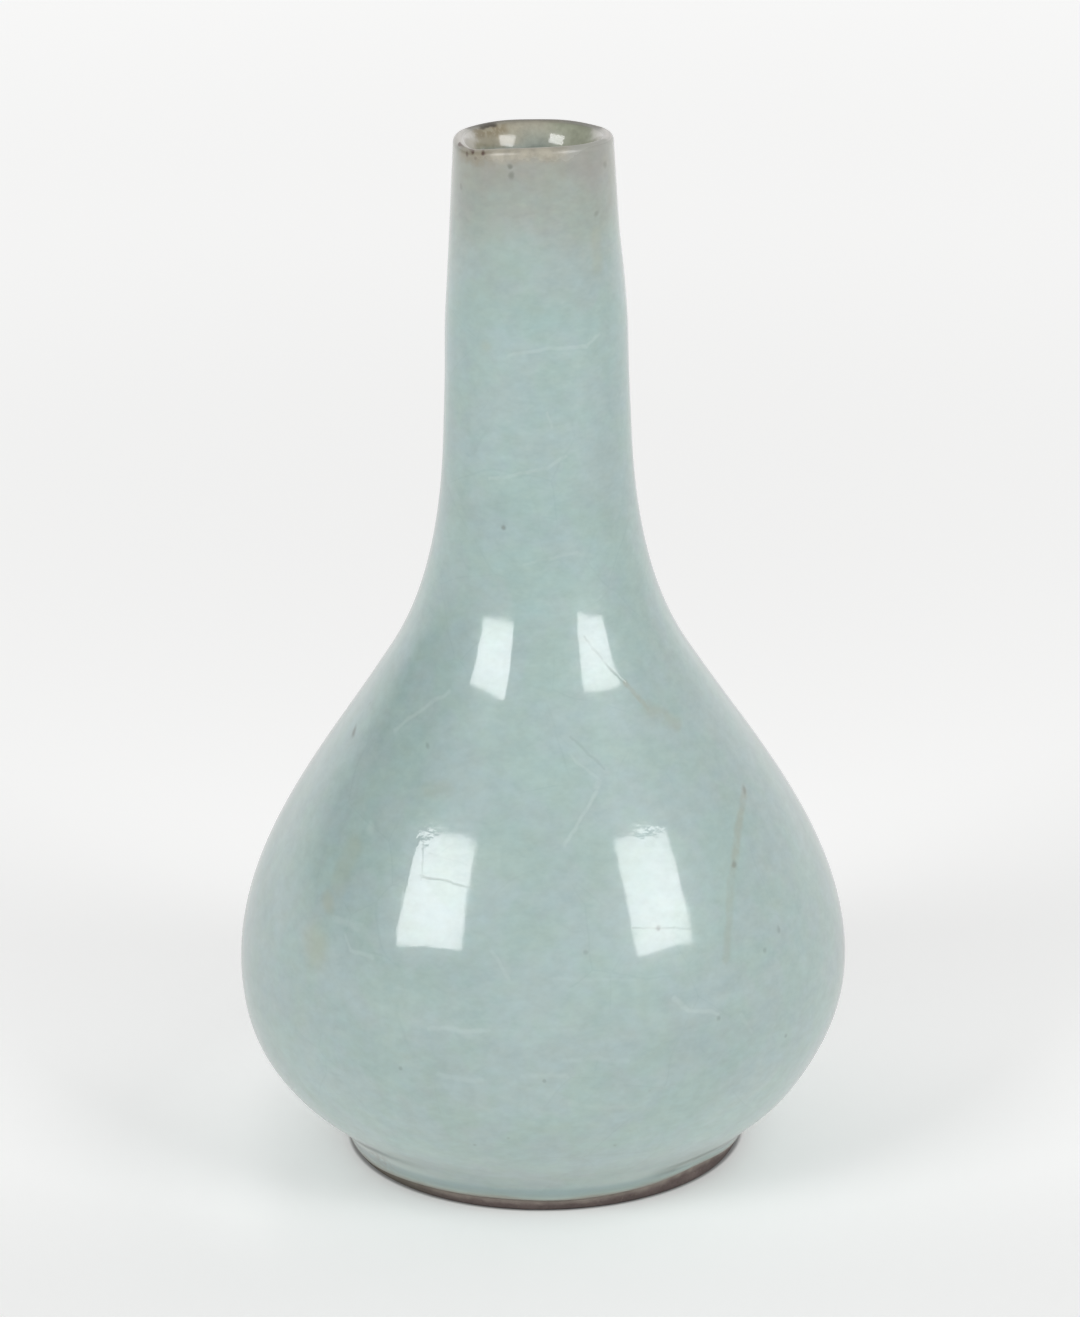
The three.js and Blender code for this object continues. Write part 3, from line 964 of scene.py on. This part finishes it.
def specked(s, at, colour):
    """Iron specks, small and few: only some cells have one in their middle."""
    moved = s.warped(at.place, 1.5, 0.25)
    from_middle = s.cells(moved, 7.5, "F1")
    choice = s.add("SeparateColor", {0: s.cells(moved, 7.5, "F1", "Color")})
    speck = s.times(s.falling(from_middle, 0.03, 0.09), s.between(choice, 0.90, 0.91))
    return s.mix(s.times(speck, 0.3), colour, IRON_SPECK)


def crackled(s, at, colour):
    """A wide net of hairlines, lost in places, and a finer one in patches."""
    wide = s.hairlines(s.warped(at.place, 26, 4), 19, 0.016)
    wide = s.times(wide, s.between(s.noise(at.place, 24), 0.46, 0.6))
    fine = s.hairlines(s.warped(at.place, 11, 2), 8, 0.02)
    fine = s.times(fine, s.between(s.noise(at.place, 30, 1.0), 0.56, 0.66))
    line = s.math("MAXIMUM", wide, s.times(fine, 0.5))
    return s.mix(s.times(line, 0.10), colour, HAIRLINE)


def marked(s, at, colour):
    """Stains, healed cracks and specks of this one vase, most of them uneven along their length."""
    colour = s.mix(s.strongest(at.flat, OCHRE_MARKS), colour, OCHRE_STAIN)
    colour = s.mix(s.times(s.strongest(at.flat, BROWN_MARKS), at.uneven), colour, BROWN_STAIN)
    pale = s.times(s.strongest(at.flat, PALE_MARKS), s.times(at.uneven, 0.7))
    colour = s.mix(pale, colour, PALE_RUN)
    colour = s.mix(s.strongest(at.flat, DARK_MARKS), colour, DARK_DOT)
    return s.mix(s.times(at.cracks, 0.22), colour, STAINED_CRACK)


def lip_outside(s, at, colour):
    """The glaze drained off the lip and left it beige at the front and grey at its right end."""
    blotch = s.between(s.noise(at.place, 2.6, 3.0, 0.6), 0.35, 0.65)
    beige = s.mix(blotch, LIP_DARK_BEIGE, LIP_LIGHT_BEIGE)
    return s.mix(at.drained, colour, s.mix(s.between(at.across, 4.0, 9.0), beige, LIP_GREY))


def lining(s, at, outer):
    """The mouth inside: bluish grey, beige near the rim, pale glaze with a painted highlight at both ends,
    and on the back wall olive, ochre and rust.
    """
    colour = s.ramp(s.math("DIVIDE", s.plus(at.height, at.drift), CREST), LINING_BY_HEIGHT)
    colour = s.mix(s.band(at.turn, 5, 25, 60, 88), colour, LINING_OLIVE)
    ochre = s.times(s.between(at.turn, 95, 125), s.between(at.level, 224.3, 226.3))
    colour = s.mix(s.times(ochre, s.between(at.turn, 165, 180, 0.85, 0.0)), colour, LINING_OCHRE)
    shade = s.plus(1.0, s.swing(at.place, 2.2, 0.10, 3.0), s.swing(at.place, 0.9, 0.08))
    colour = s.scaled(colour, shade)
    # Both ends of the mouth: partly pale glaze, partly a painted highlight of the lamps on the lip's inner
    # slope
    pale = s.times(at.ends, s.between(at.level, 224.5, 226.5))
    colour = s.mix(s.times(pale, 0.85), colour, LINING_PALE_AND_HIGHLIGHT)
    patches = s.between(s.noise(at.place, 1.8, 3.0, 0.6), 0.42, 0.56, 0.0, 0.7)
    rust = s.times(s.band(at.turn, 108, 120, 146, 160), patches)
    colour = s.mix(s.times(rust, s.between(at.level, 226.8, 228.2)), colour, LINING_RUST)
    return s.mix(s.times(at.inside, s.falling(at.height, 229.4, 230.0)), outer, colour)


def lip_top(s, at, colour):
    """The top of the lip: dark olive at the back, a nearly black streak, pale ends that are partly a painted
    highlight, and rust at the front.
    """
    back = s.band(at.turn, 8, 28, 152, 172)
    share = s.times(at.crest, s.between(back, 0.0, 1.0, 0.25, 1.0))
    colour = s.mix(share, colour, s.mix(back, CREST_FRONT, CREST_BACK))
    # Both ends of the crest: partly pale glaze, partly a painted highlight
    left_end = s.times(s.times(s.opposite(back), s.falling(at.turn, 194, 202)), at.ends)
    right_end = s.times(s.between(at.turn, 335, 348), at.ends)
    pale = s.times(at.crest, s.math("MAXIMUM", left_end, right_end))
    colour = s.mix(s.times(pale, 0.9), colour, CREST_PALE_AND_HIGHLIGHT)
    edge = s.between(s.plus(at.height, s.swing(at.place, 1.6, 0.3)), 229.0, 229.5, 0.0, 0.95)
    streak = s.times(s.band(at.turn, 120, 129, 134, 144), edge)
    colour = s.mix(s.times(at.inside, streak), colour, BLACK_STREAK)
    stain = s.times(s.band(at.turn, 198, 208, 228, 240), at.outside)
    stain = s.times(stain, s.between(at.level, 225.2, 227.4))
    colour = s.mix(s.times(stain, 0.55), colour, LIP_STAIN)
    rust = s.times(s.times(s.strongest(at.flat, RUST_MARKS), at.uneven), at.outside)
    return s.mix(rust, colour, LIP_RUST)


def foot_glaze(s, at, colour):
    """The foot: painted light at the sides of its corner, bluer on its wall, pitted at the left, tan at its
    edge.
    """
    # Painted light: the sides of the corner are lightened where the overhanging bowl shades them
    corner = s.band(at.height, 3.6, 6.4, 7.6, 11.5)
    sides = s.between(s.math("ABSOLUTE", s.plus(at.x, 6.0)), 8.0, 38.0, 0.0, 0.95)
    colour = s.mix(s.times(corner, sides), colour, CORNER_PAINTED_LIGHT)
    colour = s.mix(s.times(s.band(at.height, 2.8, 4.0, 5.2, 7.2), 0.6), colour, WALL_BLUE)
    pits = s.between(s.noise(at.place, 1.6, 3.0), 0.35, 0.6)
    pits = s.times(s.spot(at.place, PITTED_PLACE, PITTED_REACH, 0.9), pits)
    colour = s.mix(s.times(pits, 0.6), colour, PITTED_GREY)
    from_edge = s.plus(at.above_edge, s.times(at.drift, 0.5))
    colour = s.mix(s.times(s.falling(from_edge, 0.5, 3.0), 0.5), colour, THIN_GLAZE)
    return s.mix(s.times(s.falling(from_edge, 0.2, 1.2), 0.8), colour, TAN_EDGE)


def glaze_relief(s, at):
    """The soft orange peel of the melt, its pores, rough places, and the grooves of the cracks."""
    relief = s.bump(s.noise(at.place, 5.5, 1.0, 0.4), 0.04)
    relief = s.bump(s.noise(at.place, 1.3, 2.0), 0.006, relief)
    rough = s.times(s.swing(at.place, 1.8, 0.25), s.strongest(at.flat, ROUGH_PLACES))
    relief = s.bump(rough, 0.09, relief)
    return s.bump(s.opposite(at.cracks), 0.014, relief)


def celadon():
    """Blue-green celadon, drained to grey-brown at the mouth, and crackled."""
    s = new_material("celadon_glaze")
    at = GlazeFields(s)
    colour = body_colour(s, at)
    for layer in (mottled, specked, crackled, marked, lip_outside, lining, lip_top, foot_glaze):
        colour = layer(s, at, colour)
    gloss = s.between(s.noise(at.place, 9, 3.0), 0.3, 0.7, 0.05, 0.10)
    lip_roughness = s.plus(s.times(s.times(at.drained, at.outside), 0.35), s.times(at.crest, 0.5))
    roughness = s.plus(gloss, s.times(at.cracks, 0.2), lip_roughness)
    return s.finish(
        Base_Color=colour, Roughness=roughness, Normal=glaze_relief(s, at), IOR=1.5,
        Coat_Weight=0.72, Coat_Roughness=0.34, Coat_IOR=1.5,
    )


def foot_clay():
    """Bare iron-brown stoneware with a tan flash where it meets the glaze, and painted shade where it stands.
    """
    s = new_material("foot_clay")
    place = s.place()
    blotch = s.between(s.noise(place, 9, 4.0, 0.6), 0.35, 0.65)
    colour = s.mix(blotch, (88, 74, 71), (106, 92, 88))
    grain = s.noise(place, 0.7, 3.0, 0.7)
    colour = s.mix(s.between(grain, 0.45, 0.75, 0.0, 0.5), colour, (60, 50, 46))
    sand = s.between(s.cells(place, 1.1, "F1"), 0.08, 0.2, 0.45, 0.0)
    colour = s.mix(sand, colour, (140, 124, 106))
    below = s.plus(s.number("below_glaze"), s.swing(place, 3, 0.4))
    colour = s.mix(s.between(below, 0.2, 1.8, 0.85, 0.0), colour, (148, 139, 130))
    # Painted shade: darker towards the bottom, where the ring stands on the table
    painted_foot_shade = s.between(s.axis(place, "Z"), 0.3, 1.8, 0.45, 0.0)
    colour = s.mix(painted_foot_shade, colour, (66, 60, 58))
    left = s.between(s.axis(place, "X"), -34.0, -16.0, 0.6, 0.0)
    colour = s.mix(left, colour, (84, 82, 70))
    turning = s.noise(s.vector("MULTIPLY", place, (1, 1, 6)), 4)
    relief = s.bump(grain, 0.05, s.bump(turning, 0.08))
    return s.finish(Base_Color=colour, Roughness=0.72, Normal=relief)


def hidden_clay(name, pale, dark):
    """The body under the glaze: fired stoneware, seen only where a piece is taken apart."""
    s = new_material(name)
    place = s.place()
    colour = s.mix(s.between(s.noise(place, 12, 3.0), 0.3, 0.7), pale, dark)
    grain = s.noise(place, 0.8, 3.0, 0.7)
    colour = s.mix(s.between(grain, 0.5, 0.8, 0.0, 0.4), colour, (110, 98, 88))
    return s.finish(Base_Color=colour, Roughness=0.85, Normal=s.bump(grain, 0.06))


def base_glaze():
    """Celadon on the underside, greyer and pooled in the corner."""
    s = new_material("base_glaze")
    place = s.place()
    cloud = s.noise(s.warped(place, 18, 5), 18, 3.0)
    colour = s.mix(s.between(cloud, 0.35, 0.65), (150, 172, 168), (160, 178, 172))
    colour = s.scaled(colour, s.plus(1.0, s.swing(place, 2.6, 0.04), s.swing(place, 1.2, 0.04)))
    line = s.hairlines(s.warped(place, 22, 4), 13, 0.02)
    colour = s.mix(s.times(line, 0.3), colour, (112, 128, 122))
    relief = s.bump(s.noise(place, 5, 1.0), 0.06)
    relief = s.bump(s.opposite(line), 0.02, relief)
    return s.finish(Base_Color=colour, Roughness=0.1, Normal=relief, IOR=1.5)


# Stage


def floor():
    """A large pale table. To the camera and in reflections it is as white as the sweep that it stands for."""
    half = 30.0
    mesh = bpy.data.meshes.new("floor")
    corners = [(-half, -half, 0), (half, -half, 0), (half, half, 0), (-half, half, 0)]
    mesh.from_pydata(corners, [], [(0, 1, 2, 3)])
    stage = placed("floor", mesh)
    s = new_material("pale_table")
    camera_ray, glossy_ray, through_ray = s.rays()
    place = s.place()
    side, back = s.axis(place, "X"), s.axis(place, "Y")
    away = s.vector("LENGTH", place, output="Value")

    # Whiter with distance, most of all behind the vase, and a little at its left, where painted light lifts
    # the vase's shadow near the foot
    behind = s.math("MAXIMUM", s.between(back, -90, 60), s.between(away, 500, 1500))
    lift = s.plus(
        0.068,
        s.times(behind, 0.17),
        s.between(away, 230, 1000, 0.0, 0.127),
        s.between(away, 600, 2000, 0.0, 0.13),
        # Painted light: the vase's shadow on its left is lifted
        s.times(s.falling(side, -70, -52), s.between(away, 70, 100, 0.05, 0.0)),
    )
    mirrored = s.times(glossy_ray, s.between(away, 150, 1500, 0.1, 0.5))
    lift = s.plus(s.times(s.math("MAXIMUM", camera_ray, through_ray), lift), mirrored)

    # Painted shadow: darker in the narrow gap round the foot, where little light gets
    painted_contact_shadow = s.times(s.between(away, 44.4, 45.4, 0.35, 1.0), s.between(away, 45, 58, 0.93, 1.0))
    glow = s.add("Emission", {"Color": (1, 1, 0.995, 1), "Strength": s.times(lift, painted_contact_shadow)})
    diffuse = s.add("BsdfDiffuse", {"Color": s.scaled((0.91, 0.91, 0.905), painted_contact_shadow)})
    stage.data.materials.append(s.surface(s.add("AddShader", {0: diffuse, 1: glow})))


def world():
    """A white studio, lit a little more from the right and from low behind.

    Reflections find it darker on the left, where the room beyond the sweep isn't lit.
    """
    s = Shader(bpy.data.worlds.new("studio"))
    camera_ray, glossy_ray, through_ray = s.rays()
    x, y, z = (s.axis(s.add("TexCoord", output="Generated"), name) for name in "XYZ")
    left = s.times(s.falling(x, -0.75, -0.05), s.falling(y, 0.3, 0.85))
    left = s.times(left, s.between(z, 0.0, 0.3))
    reflected = s.between(left, 0.0, 1.0, 0.97, 0.15)
    low_behind = s.times(s.between(y, 0.0, 0.5, 0.0, 0.32), s.falling(z, 0.4, 0.7))
    plain = s.plus(s.between(x, -0.8, 0.6, 0.335, 0.50), low_behind)
    ambient = s.add("Background", {"Color": (1, 1, 1, 1), "Strength": plain})
    white = s.add("Background", {"Color": (1, 1, 0.99, 1), "Strength": 0.9})
    mirrored = s.add("Background", {"Color": (1, 1, 1, 1), "Strength": reflected})
    seen = s.math("MAXIMUM", camera_ray, through_ray)
    surface = s.add("MixShader", {0: glossy_ray, 1: ambient, 2: mirrored})
    surface = s.add("MixShader", {0: seen, 1: surface, 2: white})
    bpy.context.scene.world = s.surface(surface, "OutputWorld")


def softbox(name, centre, facing, across, size, radiance):
    """A rectangular softbox, placed by its images in the glaze."""
    light = bpy.data.lights.new(name, "AREA")
    light.shape = "RECTANGLE"
    light.size, light.size_y = size
    light.energy = radiance * math.pi * size[0] * size[1]
    back = -Vector(facing).normalized()
    right = Vector(across)
    right = (right - right.project(back)).normalized()
    up = back.cross(right)
    turned = Matrix((right, up, back)).transposed().to_4x4()
    placed(name, light).matrix_world = Matrix.Translation(Vector(centre)) @ turned


def camera():
    data = bpy.data.cameras.new("camera")
    data.lens = LENS
    data.sensor_width = SENSOR
    data.clip_start, data.clip_end = 0.05, 100.0
    holder = placed("camera", data)
    pitch = Matrix.Rotation(math.radians(90 - CAMERA_PITCH), 4, "X")
    roll = Matrix.Rotation(math.radians(-CAMERA_ROLL), 4, "Z")
    holder.matrix_world = Matrix.Translation((0, -CAMERA_BACK, CAMERA_HEIGHT)) @ pitch @ roll
    bpy.context.scene.camera = holder


# Scene

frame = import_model()
bpy.context.scene.view_settings.view_transform = "Standard"

camera()
floor()
world()
softbox(
    "left_softbox", centre=(-0.83, -0.725, 0.69), facing=(0.65, 0.65, -0.40),
    across=(-0.75, 0.63, -0.2), size=(0.56, 0.46), radiance=8.2,
)
softbox(
    "right_softbox", centre=(0.87, -0.704, 0.66), facing=(-0.395, 0.72, -0.572),
    across=(-0.874, -0.486, -0.006), size=(0.55, 0.487), radiance=7.1,
)

dress(glaze_coat(), celadon(), "celadon_glaze", "outer_glaze", "mouth_glaze", "inner_glaze")
dress(foot_ring(), foot_clay(), "foot_clay", "foot_ring")
dress(base_coat(), base_glaze(), "base_glaze", "base_glaze")

hidden = {
    "body_clay": hidden_clay("body_clay", (160, 150, 138), (146, 136, 124)),
    "slip": hidden_clay("slip", (140, 128, 116), (126, 114, 104)),
}
for name, profile, closed, slot, node in clay_sections():
    dress(clay_piece(name, profile, closed), hidden[slot], slot, node)
joint_materials = frame["nodes"]["foot_slip_joint"].data.materials
joint_materials.clear()
joint_materials.append(hidden["slip"])
